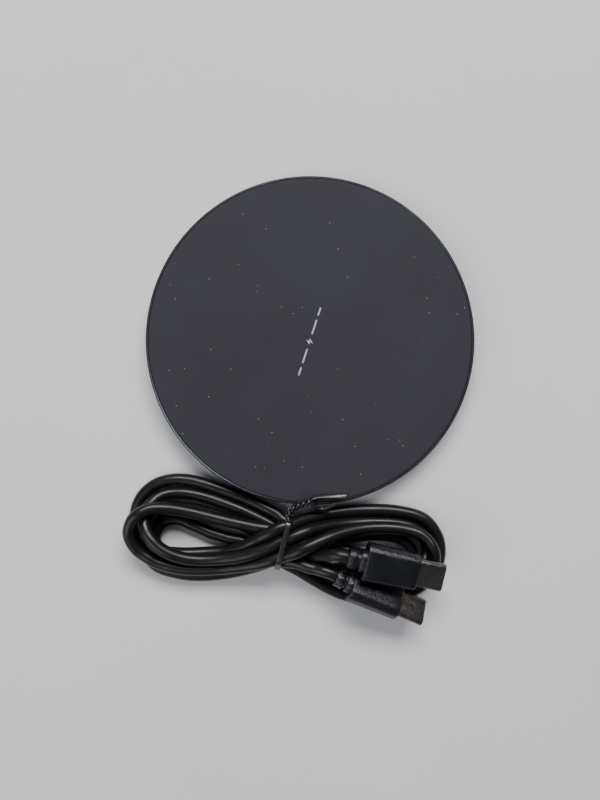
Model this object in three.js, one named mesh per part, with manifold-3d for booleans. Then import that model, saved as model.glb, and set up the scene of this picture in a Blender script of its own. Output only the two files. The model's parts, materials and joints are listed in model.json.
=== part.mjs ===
// A round wireless charging pad, with its charging cable tied in a figure of eight beside it.
// Millimetres, +Z up. The origin is at the middle of the pad's foot, on the surface it stands on.
import * as THREE from 'three';
import { mergeVertices } from 'three/addons/utils/BufferGeometryUtils.js';
import Module from 'manifold-3d';

const wasm = await Module();
wasm.setup();

// ---- Driving dimensions ----

const PAD_RADIUS = 50;
const PAD_TOP = 7.6;
const FOOT_HEIGHT = 1.3;
const FOOT_INNER = 38;
const FOOT_OUTER = 44;

const BASE_BOTTOM = 0.8; // underside of the base cover
const BASE_FLOOR = 2.2; // inside floor of the base cover
const BASE_RIM = 1.6; // top of the rim below the bezel
const BASE_WALL_TOP = 5;
const BASE_WALL_INNER = 46.9;
const BASE_WALL_OUTER = 47.95;
const BASE_OUTER = 49.2;

const BEZEL_BOTTOM = 1.9;
const BEZEL_TOP = 7.5;
const BEZEL_LIP_INNER = 49.1; // the plate drops in here
const BEZEL_BAND = 0.6; // width of the polished chamfer round the plate
const BEZEL_BAND_DROP = 0.25;
const BEZEL_ROUND = 0.3; // edge between the polished chamfer and the side wall
const BEZEL_WALL_INNER = 48.3;
const SHELF_INNER = 46.6;
const SHELF_BOTTOM = 5.3;
const SHELF_TOP = 6.1;

const PLATE_RADIUS = 48.95;
const PLATE_BOTTOM = 6.3;
const PLATE_EDGE = 0.15;

const SCREW_CIRCLE = 41;
const SCREW_ANGLES = [45, 135, 225, 315];
const SCREW_SEAT = 2.4; // height of the face the screw heads bear on
const SCREW_PILOT = 1.3; // radius of the hole that a base screw goes into
const BOSS_TOP = 3.2;

const COIL_SEAT = 3.3;
const FERRITE_RADIUS = 25;
const FERRITE_THICKNESS = 1;
const COIL_INNER = 10.4;
const COIL_TURNS = 6;
const COIL_WIRE = 2; // width of one turn
const COIL_HEIGHT = 1.2;
const COIL_LEAD_RADIUS = 0.35;

const BOARD_BOTTOM = 2.9;
const BOARD_TOP = 3.9;
const BOARD_INNER = 28;
const BOARD_OUTER = 45;
const BOARD_HALF_ANGLE = 38;
const BOARD_SCREW_CIRCLE = 32;
const BOARD_SCREW_ANGLE = 30;

const PORT_ANGLE = 162; // direction of the charging port from +X, in degrees
const PORT_HEIGHT = 4.1; // middle of the port above the floor
const PORT_WIDTH = 8.94;
const PORT_THICKNESS = 3.16;
const PORT_LENGTH = 7.35;
const PORT_FRONT = 49;
const PORT_WALL = 0.3;
const LENS_ANGLE = 20; // indicator lens, from the port's direction
const LENS_HEIGHT = 4.3;
const LENS_RADIUS = 0.75;

const CABLE = 3.8; // diameter of the cable
const HANK_LEFT_HEIGHT = 7.4;
const HANK_RIGHT_HEIGHT = 3.8;
const TIE_CENTRE = [-8.1, -61.4];
const TIE_YAW = -13.8; // direction of the hank's axis where the tie goes round it
const TIE_WIDTH = 18;
const TIE_HEIGHT = 12.8;
const TIE_WIRE = 1.2;
const TIE_TWIST = [[-6.4, -54.2, 11.8], [-5, -51.6, 11.4], [-1.8, -49.6, 10.4], [1, -49, 9.6], [3, -48.4, 9]];
const TIE_TWIST_RADIUS = 0.9;

const PLUG_LENGTH = 16;
const PLUG_WIDTH = 10.6;
const PLUG_THICKNESS = 6;
const PLUG_FLARE = 0.08; // how much wider and thicker the cable end is than the metal end
const RELIEF_LENGTH = 5;
const SHELL_WIDTH = 8.3;
const SHELL_THICKNESS = 2.5;
const SHELL_LENGTH = 8;
const SHELL_SEAT = 1.8; // how deep the shell sits in the moulded body
const SHELL_WALL = 0.3;
const PLUGS = {
  a: { place: [23.6, -67.0, 13.5], yaw: -13, pitch: 3, roll: 3 },
  b: { place: [19.5, -75.8, 9.2], yaw: -24, pitch: 4, roll: -40 },
};

const GAP = 0.3; // clearance between neighbours that are turned or cut to fit
const ROUND = 48; // sides of a large circle
const SMALL_ROUND = 12; // sides of a screw or a small boss

// ---- Helpers ----

const radians = THREE.MathUtils.degToRad;

// A closed geometry as a solid that can be joined and cut.
function solidFrom(geometry) {
  const bare = geometry.clone();
  bare.deleteAttribute('normal');
  bare.deleteAttribute('uv');
  const merged = mergeVertices(bare, 1e-4);
  const vertProperties = merged.attributes.position.array;
  const triVerts = new Uint32Array(merged.index.array);
  return new wasm.Manifold(new wasm.Mesh({ numProp: 3, vertProperties, triVerts }));
}

function geometryFrom(solid) {
  const mesh = solid.getMesh();
  const geometry = new THREE.BufferGeometry();
  geometry.setAttribute('position', new THREE.BufferAttribute(mesh.vertProperties, 3));
  geometry.setIndex(new THREE.BufferAttribute(mesh.triVerts, 1));
  return geometry;
}

// A solid of revolution about Z. The profile is a list of [radius, height], anticlockwise.
function turned(profile, sides = ROUND) {
  const points = [...profile, profile[0]].map(([r, z]) => new THREE.Vector2(r, z));
  return new THREE.LatheGeometry(points, sides).rotateX(Math.PI / 2);
}

function ring(inner, outer, bottom, top, sides = ROUND) {
  return turned([[inner, bottom], [outer, bottom], [outer, top], [inner, top]], sides);
}

function disc(radius, bottom, top, sides = SMALL_ROUND) {
  return new THREE.CylinderGeometry(radius, radius, top - bottom, sides)
    .rotateX(Math.PI / 2)
    .translate(0, 0, (top + bottom) / 2);
}

function box(width, depth, bottom, top) {
  return new THREE.BoxGeometry(width, depth, top - bottom).translate(0, 0, (top + bottom) / 2);
}

function roundedOutline(width, height, radius) {
  const shape = new THREE.Shape();
  const x = width / 2 - radius;
  const y = height / 2 - radius;
  shape.absarc(x, y, radius, 0, Math.PI / 2);
  shape.absarc(-x, y, radius, Math.PI / 2, Math.PI);
  shape.absarc(-x, -y, radius, Math.PI, 1.5 * Math.PI);
  shape.absarc(x, -y, radius, 1.5 * Math.PI, 2 * Math.PI);
  shape.closePath();
  return shape;
}

// The outline runs along +X from start to end. Its width lies along Y and its height along Z.
function alongX(shape, start, end, round = 0, curveSegments = 4) {
  const options = { depth: end - start - 2 * round, bevelEnabled: round > 0, curveSegments };
  if (round > 0) {
    const bevel = { bevelThickness: round, bevelSize: round, bevelOffset: -round, bevelSegments: 1 };
    Object.assign(options, bevel);
  }
  const geometry = new THREE.ExtrudeGeometry(shape, options);
  const turn = new THREE.Matrix4().makeBasis(
    new THREE.Vector3(0, 1, 0),
    new THREE.Vector3(0, 0, 1),
    new THREE.Vector3(1, 0, 0),
  );
  return geometry.applyMatrix4(turn).translate(start + round, 0, 0);
}

function bar(width, height, radius, start, end, round = 0, curveSegments = 4) {
  return alongX(roundedOutline(width, height, radius), start, end, round, curveSegments);
}

function upright(shape, bottom, top, curveSegments = 6) {
  const options = { depth: top - bottom, bevelEnabled: false, curveSegments };
  return new THREE.ExtrudeGeometry(shape, options).translate(0, 0, bottom);
}

// A round wire along a smooth curve through the points.
function wire(points, radius, steps, sides = 8) {
  const path = new THREE.CatmullRomCurve3(points.map((p) => new THREE.Vector3(...p)));
  const section = new THREE.Shape();
  for (let i = 0; i < sides; i += 1) {
    const angle = (2 * Math.PI * i) / sides;
    const corner = [radius * Math.cos(angle), radius * Math.sin(angle)];
    if (i === 0) section.moveTo(...corner);
    else section.lineTo(...corner);
  }
  section.closePath();
  return new THREE.ExtrudeGeometry(section, { steps, extrudePath: path, bevelEnabled: false });
}

// Places a geometry at a distance from the pad's middle, in a direction from the port.
function atPolar(geometry, distance, degrees) {
  return geometry.translate(distance, 0, 0).rotateZ(radians(degrees));
}

function union(geometries) {
  return geometries.map(solidFrom).reduce((sum, next) => sum.add(next));
}

function cut(solid, geometries) {
  return geometries.map(solidFrom).reduce((rest, next) => rest.subtract(next), solid);
}

// ---- Materials: colour, roughness, metalness ----

const FINISHES = {
  plate: [0x3c3c44, 0.75, 0],
  bezel: [0x4a4e58, 0.3, 0.9],
  base: [0x1b1b1d, 0.6, 0],
  silicone: [0x2a2a2c, 0.85, 0],
  tape: [0xb9b6aa, 0.8, 0],
  steel: [0x9a9ca0, 0.35, 1],
  ferrite: [0x2d2b2a, 0.7, 0],
  copper: [0xb87333, 0.35, 1],
  foam: [0x34343a, 0.95, 0],
  board: [0x1d4a2c, 0.5, 0],
  chip: [0x161618, 0.5, 0],
  ceramic: [0xa58a68, 0.5, 0],
  lens: [0xdfe6ea, 0.2, 0],
  gunmetal: [0x55504a, 0.3, 1],
  cable: [0x17181b, 0.35, 0],
  overmold: [0x1c1d21, 0.6, 0],
  tie: [0x18181a, 0.3, 0],
};

function piece(name, shape, finish) {
  const [color, roughness, metalness] = FINISHES[finish];
  const geometry = shape.isBufferGeometry ? shape : geometryFrom(shape);
  const mesh = new THREE.Mesh(geometry, new THREE.MeshStandardMaterial({ color, roughness, metalness }));
  mesh.name = name;
  return mesh;
}

// ---- Casing ----

const portCut = () => bar(PORT_WIDTH + 0.5, PORT_THICKNESS + 0.4, 1.7, 45.5, PAD_RADIUS + 1)
  .translate(0, 0, PORT_HEIGHT);
const lensCut = () => new THREE.CylinderGeometry(LENS_RADIUS + GAP, LENS_RADIUS + GAP, 6, SMALL_ROUND)
  .rotateZ(Math.PI / 2)
  .translate(49.5, 0, LENS_HEIGHT)
  .rotateZ(radians(LENS_ANGLE));

function topPlate() {
  return turned([
    [0, PLATE_BOTTOM],
    [PLATE_RADIUS, PLATE_BOTTOM],
    [PLATE_RADIUS, PAD_TOP - PLATE_EDGE],
    [PLATE_RADIUS - PLATE_EDGE, PAD_TOP],
    [0, PAD_TOP],
  ]);
}

// The bezel carries the plate on a shelf, and four lugs that take the base screws.
function bezelRing() {
  const body = turned([
    [BEZEL_WALL_INNER, BEZEL_BOTTOM],
    [PAD_RADIUS - GAP, BEZEL_BOTTOM],
    [PAD_RADIUS, BEZEL_BOTTOM + GAP],
    [PAD_RADIUS, BEZEL_TOP - BEZEL_BAND_DROP - 2 * BEZEL_ROUND],
    [BEZEL_LIP_INNER + BEZEL_BAND, BEZEL_TOP - BEZEL_BAND_DROP],
    [BEZEL_LIP_INNER, BEZEL_TOP],
    [BEZEL_LIP_INNER, SHELF_TOP],
    [SHELF_INNER, SHELF_TOP],
    [SHELF_INNER, SHELF_BOTTOM],
    [BEZEL_WALL_INNER, SHELF_BOTTOM],
  ]);
  const lugs = SCREW_ANGLES.flatMap((angle) => [
    atPolar(box(SHELF_INNER + 0.8 - SCREW_CIRCLE, 5, SHELF_BOTTOM, SHELF_TOP - 0.1)
      .translate((SHELF_INNER + 0.8 - SCREW_CIRCLE) / 2, 0, 0), SCREW_CIRCLE, angle),
    atPolar(disc(2.5, BOSS_TOP + 0.1, SHELF_TOP - 0.1), SCREW_CIRCLE, angle),
  ]);
  const holes = SCREW_ANGLES.map((angle) => atPolar(disc(SCREW_PILOT, 2, 5.7), SCREW_CIRCLE, angle));
  return cut(union([body, ...lugs]), [portCut(), lensCut(), ...holes]);
}

function baseCover() {
  const shell = turned([
    [0, BASE_BOTTOM],
    [FOOT_INNER - 0.2, BASE_BOTTOM],
    [FOOT_INNER - 0.2, FOOT_HEIGHT],
    [FOOT_OUTER + 0.2, FOOT_HEIGHT],
    [FOOT_OUTER + 0.2, BASE_BOTTOM],
    [46.6, BASE_BOTTOM],
    [BASE_OUTER, BASE_RIM - 0.1],
    [BASE_OUTER, BASE_RIM],
    [BASE_WALL_OUTER, BASE_RIM],
    [BASE_WALL_OUTER, BASE_WALL_TOP],
    [BASE_WALL_INNER, BASE_WALL_TOP],
    [BASE_WALL_INNER, BASE_FLOOR],
    [FERRITE_RADIUS + 2, BASE_FLOOR],
    [FERRITE_RADIUS + 2, COIL_SEAT + 0.8],
    [FERRITE_RADIUS + 1, COIL_SEAT + 0.8],
    [FERRITE_RADIUS + 1, COIL_SEAT],
    [FERRITE_RADIUS - 3, COIL_SEAT],
    [FERRITE_RADIUS - 3, BASE_FLOOR],
    [9.2, BASE_FLOOR],
    [9.2, COIL_SEAT],
    [8, COIL_SEAT],
    [8, BASE_FLOOR],
    [0, BASE_FLOOR],
  ]);
  const bosses = SCREW_ANGLES.map((angle) => atPolar(
    disc(3.2, FOOT_HEIGHT, BOSS_TOP),
    SCREW_CIRCLE,
    angle,
  ));
  const posts = [-1, 1].map((side) => atPolar(
    disc(1.8, BASE_BOTTOM + 0.2, BOARD_BOTTOM),
    BOARD_SCREW_CIRCLE,
    side * BOARD_SCREW_ANGLE,
  ));
  const counterbores = SCREW_ANGLES.flatMap((angle) => [
    atPolar(disc(2.1, 1, SCREW_SEAT), SCREW_CIRCLE, angle),
    atPolar(disc(SCREW_PILOT, 2, 4), SCREW_CIRCLE, angle),
  ]);
  const pilots = [-1, 1].map((side) => atPolar(
    disc(1, 1.5, 4),
    BOARD_SCREW_CIRCLE,
    side * BOARD_SCREW_ANGLE,
  ));
  return cut(union([shell, ...bosses, ...posts]), [portCut(), lensCut(), ...counterbores, ...pilots]);
}

function adhesiveRing() {
  return ring(SHELF_INNER + GAP, PLATE_RADIUS - GAP, SHELF_TOP, PLATE_BOTTOM);
}

function footRing() {
  return turned([
    [FOOT_INNER + 0.3, 0],
    [FOOT_OUTER - 0.3, 0],
    [FOOT_OUTER, 0.3],
    [FOOT_OUTER, FOOT_HEIGHT],
    [FOOT_INNER, FOOT_HEIGHT],
    [FOOT_INNER, 0.3],
  ]);
}

// A cross-recessed pan head screw. Its head bears upwards on the seat, or downwards on a board.
function screw(headRadius, headHeight, shankRadius, length, seat, pointsUp) {
  const head = disc(headRadius, -headHeight, 0);
  const shank = disc(shankRadius, -0.1, length);
  const slots = [0, 90].map((angle) => box(headRadius, 0.5, -2 * headHeight, -headHeight / 2)
    .rotateZ(radians(angle)));
  const geometry = geometryFrom(cut(union([head, shank]), slots));
  if (!pointsUp) geometry.rotateX(Math.PI);
  return geometry.translate(0, 0, seat);
}

function casing() {
  const group = new THREE.Group();
  group.add(
    piece('top_plate', topPlate(), 'plate'),
    piece('bezel_ring', bezelRing(), 'bezel'),
    piece('base_cover', baseCover(), 'base'),
    piece('foot_ring', footRing(), 'silicone'),
    piece('plate_adhesive_ring', adhesiveRing(), 'tape'),
  );
  SCREW_ANGLES.forEach((angle, i) => {
    const geometry = atPolar(screw(1.8, 0.9, 1, 3.1, SCREW_SEAT, true), SCREW_CIRCLE, angle);
    group.add(piece(`base_screw_${i + 1}`, geometry, 'steel'));
  });
  return group;
}

// ---- Coil ----

// The section of the winding: one low arch for each turn, above and below.
function windingSection() {
  const middle = COIL_SEAT + FERRITE_THICKNESS + COIL_HEIGHT / 2;
  const lower = [];
  const upper = [];
  for (let turn = 0; turn < COIL_TURNS; turn += 1) {
    const start = COIL_INNER + turn * COIL_WIRE;
    lower.push([start, middle - COIL_HEIGHT / 4], [start + COIL_WIRE / 2, middle - COIL_HEIGHT / 2]);
    upper.push([start, middle + COIL_HEIGHT / 4], [start + COIL_WIRE / 2, middle + COIL_HEIGHT / 2]);
  }
  const outer = COIL_INNER + COIL_TURNS * COIL_WIRE;
  lower.push([outer, middle - COIL_HEIGHT / 4]);
  upper.push([outer, middle + COIL_HEIGHT / 4]);
  return [...lower, ...upper.reverse()];
}

function chargingCoil() {
  const top = COIL_SEAT + FERRITE_THICKNESS + COIL_HEIGHT;
  const edge = COIL_INNER + COIL_TURNS * COIL_WIRE;
  const landing = BOARD_TOP + COIL_LEAD_RADIUS + 0.1;
  const over = top + COIL_LEAD_RADIUS - 0.05;
  const outerLead = wire([
    [edge - 0.8, 2, top - 0.5],
    [edge + 3, 2, top - 0.5],
    [edge + 6, 2, landing + 0.2],
    [edge + 8.5, 2, landing],
  ], COIL_LEAD_RADIUS, 6);
  const innerLead = wire([
    [COIL_INNER + 0.6, -2, top - 0.4],
    [COIL_INNER + 3, -2, over - 0.1],
    [COIL_INNER + 6, -2, over],
    [edge - 1, -2, over],
    [edge + 5, -2, landing + 0.6],
    [edge + 8.5, -2, landing],
  ], COIL_LEAD_RADIUS, 12);
  return union([turned(windingSection(), 32), outerLead, innerLead]);
}

// The foam has a slot for the lead that crosses the winding.
function coilFoam() {
  const top = COIL_SEAT + FERRITE_THICKNESS + COIL_HEIGHT;
  const slot = box(40, 1.6, top - 1, PLATE_BOTTOM + 1).translate(20 + COIL_INNER - 1, -2, 0);
  return cut(solidFrom(disc(COIL_INNER + COIL_TURNS * COIL_WIRE, top + 0.1, PLATE_BOTTOM, 48)), [slot]);
}

function coilStack() {
  const ferriteTop = COIL_SEAT + FERRITE_THICKNESS;
  const group = new THREE.Group();
  group.add(
    piece('ferrite_sheet', disc(FERRITE_RADIUS, COIL_SEAT, ferriteTop, 48), 'ferrite'),
    piece('charging_coil', chargingCoil(), 'copper'),
    piece('coil_foam', coilFoam(), 'foam'),
    piece('coil_thermistor', box(2, 1.25, ferriteTop, ferriteTop + 0.9), 'chip'),
  );
  return group;
}

// ---- Electronics ----

function boardOutline() {
  const shape = new THREE.Shape();
  const half = radians(BOARD_HALF_ANGLE);
  shape.absarc(0, 0, BOARD_OUTER, -half, half, false);
  shape.absarc(0, 0, BOARD_INNER, half, -half, true);
  shape.closePath();
  return shape;
}

function mainBoard() {
  const notch = box(10, PORT_WIDTH + 0.6, BOARD_BOTTOM - 1, BOARD_TOP + 1)
    .translate(PORT_FRONT - PORT_LENGTH - 0.3 + 5, 0, 0);
  const holes = [-1, 1].map((side) => atPolar(
    disc(1, BOARD_BOTTOM - 1, BOARD_TOP + 1),
    BOARD_SCREW_CIRCLE,
    side * BOARD_SCREW_ANGLE,
  ));
  return cut(solidFrom(upright(boardOutline(), BOARD_BOTTOM, BOARD_TOP, 16)), [notch, ...holes]);
}

// The port's shell is open at the front and has two solder tabs on the board.
function receptacleShell() {
  const back = PORT_FRONT - PORT_LENGTH;
  const outer = bar(PORT_WIDTH, PORT_THICKNESS, 1.5, back, PORT_FRONT).translate(0, 0, PORT_HEIGHT);
  const tabs = box(2, PORT_WIDTH + 2.4, BOARD_TOP, BOARD_TOP + PORT_WALL).translate(back + 2, 0, 0);
  const inside = bar(
    PORT_WIDTH - 2 * PORT_WALL,
    PORT_THICKNESS - 2 * PORT_WALL,
    1.2,
    back + PORT_WALL,
    PORT_FRONT + 1,
  ).translate(0, 0, PORT_HEIGHT);
  return cut(union([outer, tabs]), [inside]);
}

function receptacleTongue() {
  const back = PORT_FRONT - PORT_LENGTH + PORT_WALL + 0.1;
  const block = bar(PORT_WIDTH - 1, PORT_THICKNESS - 1, 1, back, back + 1.6);
  const tongue = bar(6.7, 0.7, 0.2, back + 1.5, PORT_FRONT - 0.8, 0, 2);
  return geometryFrom(union([block, tongue])).translate(0, 0, PORT_HEIGHT);
}

// A clear pipe that leads the indicator's light to the side wall.
function indicatorLens() {
  const profile = [[0, 0], [1.3, 0], [1.3, 0.6], [LENS_RADIUS, 0.6], [LENS_RADIUS, 4.3], [0, 4.3]];
  return turned(profile, SMALL_ROUND)
    .rotateY(Math.PI / 2)
    .translate(45.6, 0, LENS_HEIGHT)
    .rotateZ(radians(LENS_ANGLE));
}

function electronics() {
  const chip = (width, depth, height) => box(width, depth, BOARD_TOP, BOARD_TOP + height);
  const inductor = upright(roundedOutline(4.8, 4.8, 0.8), BOARD_TOP, BOARD_TOP + 2, 2);
  const group = new THREE.Group();
  group.add(
    piece('main_board', mainBoard(), 'board'),
    piece('usb_c_receptacle', receptacleShell(), 'steel'),
    piece('receptacle_tongue', receptacleTongue(), 'chip'),
    piece('controller_chip', atPolar(chip(5, 5, 0.9), 35, 0), 'chip'),
    piece('bridge_chip', atPolar(chip(4, 4, 0.9), 34.5, -13), 'chip'),
    piece('power_inductor', atPolar(inductor, 40.5, -24), 'ferrite'),
    piece('indicator_led', atPolar(chip(0.8, 1.6, 0.8), 43.6, LENS_ANGLE), 'lens'),
    piece('indicator_lens', indicatorLens(), 'lens'),
  );
  [12, 18, 24, 30].forEach((angle, i) => {
    group.add(piece(`resonance_capacitor_${i + 1}`, atPolar(chip(3.2, 2.5, 1.7), 38.5, angle), 'ceramic'));
  });
  [-1, 1].forEach((side, i) => {
    const geometry = atPolar(
      screw(1.5, 0.8, 0.7, 2, BOARD_TOP, false),
      BOARD_SCREW_CIRCLE,
      side * BOARD_SCREW_ANGLE,
    );
    group.add(piece(`board_screw_${i + 1}`, geometry, 'steel'));
  });
  return group;
}

// ---- Cable ----

// Each lobe of the figure of eight is one solid of the winding's outer shape.
const HANK_LEFT = [
  [-7.6, -53.4], [-20, -47.6], [-32, -42.4], [-45, -39.7], [-54, -43.4], [-58.5, -52], [-56.5, -60.5],
  [-47.5, -67.4], [-35, -71.4], [-24, -72.4], [-11.4, -68.8],
];
const HANK_RIGHT = [
  [-8.6, -69.4], [0, -73.4], [6.5, -77.6], [12, -79.8], [17.5, -78.4], [23, -74.8], [30, -71.8], [41, -65.4],
  [41.8, -60.6], [37.5, -55], [28, -51.2], [17, -50], [5, -51.6], [-4.9, -53.9],
];

function hankLobe(points, height) {
  const curve = new THREE.SplineCurve(points.map((p) => new THREE.Vector2(...p)));
  const shape = new THREE.Shape(curve.getPoints(3 * points.length));
  return upright(shape, 0, height);
}

// Each lead runs back from its plug's strain relief to the tie.
const LEADS = {
  a: [[4, -64, 11.6], [0, -64.2, 9.6], [-3, -64.2, 8.2], [-6.3, -63.9, 7.6]],
  b: [[3, -69.4, 8.9], [-1.8, -68.9, 7.2], [-7.1, -68.2, 6.3]],
};

// The tie's loop goes round the middle of the hank. Its ends are twisted and one lies on the pad's rim.
function twistTie() {
  const outer = bar(TIE_WIDTH, TIE_HEIGHT, 3, -TIE_WIRE / 2, TIE_WIRE / 2);
  const inner = bar(TIE_WIDTH - 2 * TIE_WIRE, TIE_HEIGHT - 2 * TIE_WIRE, 2, -TIE_WIRE, TIE_WIRE);
  const loop = geometryFrom(cut(solidFrom(outer), [inner]))
    .rotateZ(radians(TIE_YAW))
    .translate(TIE_CENTRE[0], TIE_CENTRE[1], TIE_HEIGHT / 2 + 0.05);
  const twist = wire(TIE_TWIST, TIE_TWIST_RADIUS, 10);
  const tail = box(8.4, 1.4, 8.3, 8.9).translate(6.6, 0, 0).rotateZ(radians(4)).translate(0, -48.4, 0);
  return union([loop, twist, tail]);
}

// Widens a bar along X little by little towards its back end.
function flare(geometry, back, front, growth) {
  const position = geometry.getAttribute('position');
  for (let i = 0; i < position.count; i += 1) {
    const scale = 1 + (growth * (front - position.getX(i))) / (front - back);
    position.setY(i, position.getY(i) * scale);
    position.setZ(i, position.getZ(i) * scale);
  }
  return geometry;
}

function plugBody() {
  const back = -PLUG_LENGTH / 2;
  const front = PLUG_LENGTH / 2;
  const body = flare(bar(PLUG_WIDTH, PLUG_THICKNESS, 2.4, back, front, 0.7, 3), back, front, PLUG_FLARE);
  const rib = (width, start, end) => bar(width, PLUG_THICKNESS - 0.6, 2.4, back + start, back + end, 0, 3);
  const relief = [
    bar(4.8, 4.6, 2.2, back - RELIEF_LENGTH, back + 1, 0, 3),
    rib(6.8, -1.5, 1),
    rib(6.2, -RELIEF_LENGTH, -2.4),
  ];
  const seat = bar(SHELL_WIDTH + 0.3, SHELL_THICKNESS + 0.3, 1.3, front - SHELL_SEAT - 0.15, 20);
  return cut(union([body, ...relief]), [seat]);
}

function plugShell() {
  const back = PLUG_LENGTH / 2 - SHELL_SEAT;
  const front = PLUG_LENGTH / 2 + SHELL_LENGTH;
  const inside = bar(
    SHELL_WIDTH - 2 * SHELL_WALL,
    SHELL_THICKNESS - 2 * SHELL_WALL,
    0.9,
    back + SHELL_WALL,
    front + 1,
  );
  return cut(solidFrom(bar(SHELL_WIDTH, SHELL_THICKNESS, 1.2, back, front)), [inside]);
}

// The moulded insert inside the shell, with the slot that a port's tongue goes into.
function plugContacts() {
  const back = PLUG_LENGTH / 2 - SHELL_SEAT + SHELL_WALL + 0.1;
  const front = PLUG_LENGTH / 2 + SHELL_LENGTH - 0.4;
  const block = bar(SHELL_WIDTH - 0.8, SHELL_THICKNESS - 0.8, 0.8, back, front);
  const slot = bar(7, 0.9, 0.2, front - 5.4, front + 1, 0, 2);
  return cut(solidFrom(block), [slot]);
}

// A frame at the middle of the plug's moulded body, with +X towards the contacts.
function plugFrame(letter) {
  const { place, yaw, pitch, roll } = PLUGS[letter];
  const group = new THREE.Group();
  group.position.set(...place);
  group.rotation.set(radians(roll), radians(pitch), radians(yaw), 'ZYX');
  group.updateMatrix();
  return group;
}

function plug(letter) {
  const group = plugFrame(letter);
  group.add(
    piece(`plug_${letter}_body`, plugBody(), 'overmold'),
    piece(`plug_${letter}_shell`, plugShell(), 'gunmetal'),
    piece(`plug_${letter}_contacts`, plugContacts(), 'chip'),
  );
  return group;
}

function cableLead(letter) {
  const frame = plugFrame(letter);
  const start = -PLUG_LENGTH / 2 - RELIEF_LENGTH - GAP;
  const straight = [start, start - 2].map((x) => (
    new THREE.Vector3(x, 0, 0).applyMatrix4(frame.matrix).toArray()
  ));
  return wire([...straight, ...LEADS[letter]], CABLE / 2, 6);
}

function cable() {
  const group = new THREE.Group();
  group.add(
    piece('cable_hank_left', hankLobe(HANK_LEFT, HANK_LEFT_HEIGHT), 'cable'),
    piece('cable_hank_right', hankLobe(HANK_RIGHT, HANK_RIGHT_HEIGHT), 'cable'),
    piece('cable_lead_a', cableLead('a'), 'cable'),
    piece('cable_lead_b', cableLead('b'), 'cable'),
    piece('twist_tie', twistTie(), 'tie'),
    plug('a'),
    plug('b'),
  );
  return group;
}

// ---- The whole object ----

const pad = new THREE.Group();
pad.add(casing(), coilStack(), electronics());
pad.rotation.z = radians(PORT_ANGLE);

const chargingPad = new THREE.Group();
chargingPad.add(pad, cable());

export default chargingPad;
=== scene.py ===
"""A round wireless charging pad, with its charging cable tied in a figure of eight beside it.

Metres, +Z up. Lengths are written in millimetres and scaled by MM.
"""

import json
import math

import bmesh
import bpy
import numpy as np
from mathutils import Matrix, Vector


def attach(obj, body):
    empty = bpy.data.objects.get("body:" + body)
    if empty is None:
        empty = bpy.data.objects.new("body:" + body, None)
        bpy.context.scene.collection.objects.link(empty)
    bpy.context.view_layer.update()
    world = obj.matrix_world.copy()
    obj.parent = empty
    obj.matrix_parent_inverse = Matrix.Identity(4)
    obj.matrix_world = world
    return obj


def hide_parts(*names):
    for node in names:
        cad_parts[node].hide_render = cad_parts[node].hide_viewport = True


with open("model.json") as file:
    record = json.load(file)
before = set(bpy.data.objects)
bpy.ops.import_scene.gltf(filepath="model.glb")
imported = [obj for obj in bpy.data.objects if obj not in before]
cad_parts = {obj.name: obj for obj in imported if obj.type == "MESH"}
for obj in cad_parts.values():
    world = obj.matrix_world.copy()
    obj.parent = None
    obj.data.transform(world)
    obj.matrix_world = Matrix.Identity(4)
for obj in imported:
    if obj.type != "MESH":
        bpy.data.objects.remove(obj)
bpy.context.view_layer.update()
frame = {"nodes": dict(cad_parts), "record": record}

MM = 0.001

# ---- Sizes, as in the CAD model, in millimetres ----

PAD_RADIUS = 50.0
PAD_TOP = 7.6
PLATE_RADIUS = 48.95
PLATE_BOTTOM = 6.3
PLATE_EDGE = 0.15
LIP_INNER = 49.1  # the plate drops in here
BEZEL_BOTTOM = 1.9
BEZEL_TOP = 7.5
BEZEL_FOOT_ROUND = 0.45  # the side wall's lower edge
BAND_WIDTH = 0.48
BAND_DROP = 0.25
BAND_ROUND = 0.42
WALL_INNER = 48.3
SHELF_INNER = 46.6
SHELF_BOTTOM = 5.3
SHELF_TOP = 6.1
BASE_BOTTOM = 0.8
BASE_RIM = 1.6
BASE_OUTER = 49.2
BASE_FLOOR = 2.2
BASE_WALL_TOP = 5.0
BASE_WALL_INNER = 46.9
BASE_WALL_OUTER = 47.95
FOOT_INNER = 38.0
FOOT_OUTER = 44.0
FOOT_HEIGHT = 1.3

PORT_ANGLE = 162.0  # degrees round the pad from +X
PORT_HEIGHT = 4.1
PORT_WIDTH = 8.94
PORT_THICKNESS = 3.16
PORT_LENGTH = 7.35
PORT_FRONT = 49.0
PORT_WALL = 0.3
PORT_CLEARANCE = 0.45  # how much wider the bezel's slot is than the port
SLOT_CORNER = 1.75
LENS_ANGLE = 20.0  # degrees on from the port
LENS_HEIGHT = 4.3
LENS_RADIUS = 0.75
CUT_START = 45.5  # the port's slot is cut from here outwards
LENS_CUT = (46.0, 51.0)
CONTACT_PLACES = [(i - 5.5) * 0.5 for i in range(12)]  # across a row, in the port and in a plug

CABLE = 3.8
TIE_CENTRE = np.array([-8.1, -61.4])
TIE_YAW = -13.8  # degrees from +X to the cable's run
TIE_HALF_WIDTH = 9.0
TIE_TOP = 12.85
TIE_WIRE = 1.2

PLUG_LENGTH = 16.0
PLUG_WIDTH = 10.6
PLUG_THICKNESS = 6.0
PLUG_FLARE = 0.08  # how much wider and thicker the cable end is than the metal end
RELIEF_LENGTH = 5.0
SHELL_WIDTH = 8.3
SHELL_THICKNESS = 2.5
SHELL_LENGTH = 8.0
SHELL_WALL = 0.3
# Each plug's middle, and its yaw, pitch and roll in degrees.
PLUGS = {
    "a": ((23.6, -67.0, 13.5), (-13.0, 3.0, 3.0)),
    "b": ((19.5, -75.8, 9.2), (-24.0, 4.0, -40.0)),
}

SCENE = bpy.context.scene


# ---- Camera ----

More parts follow.
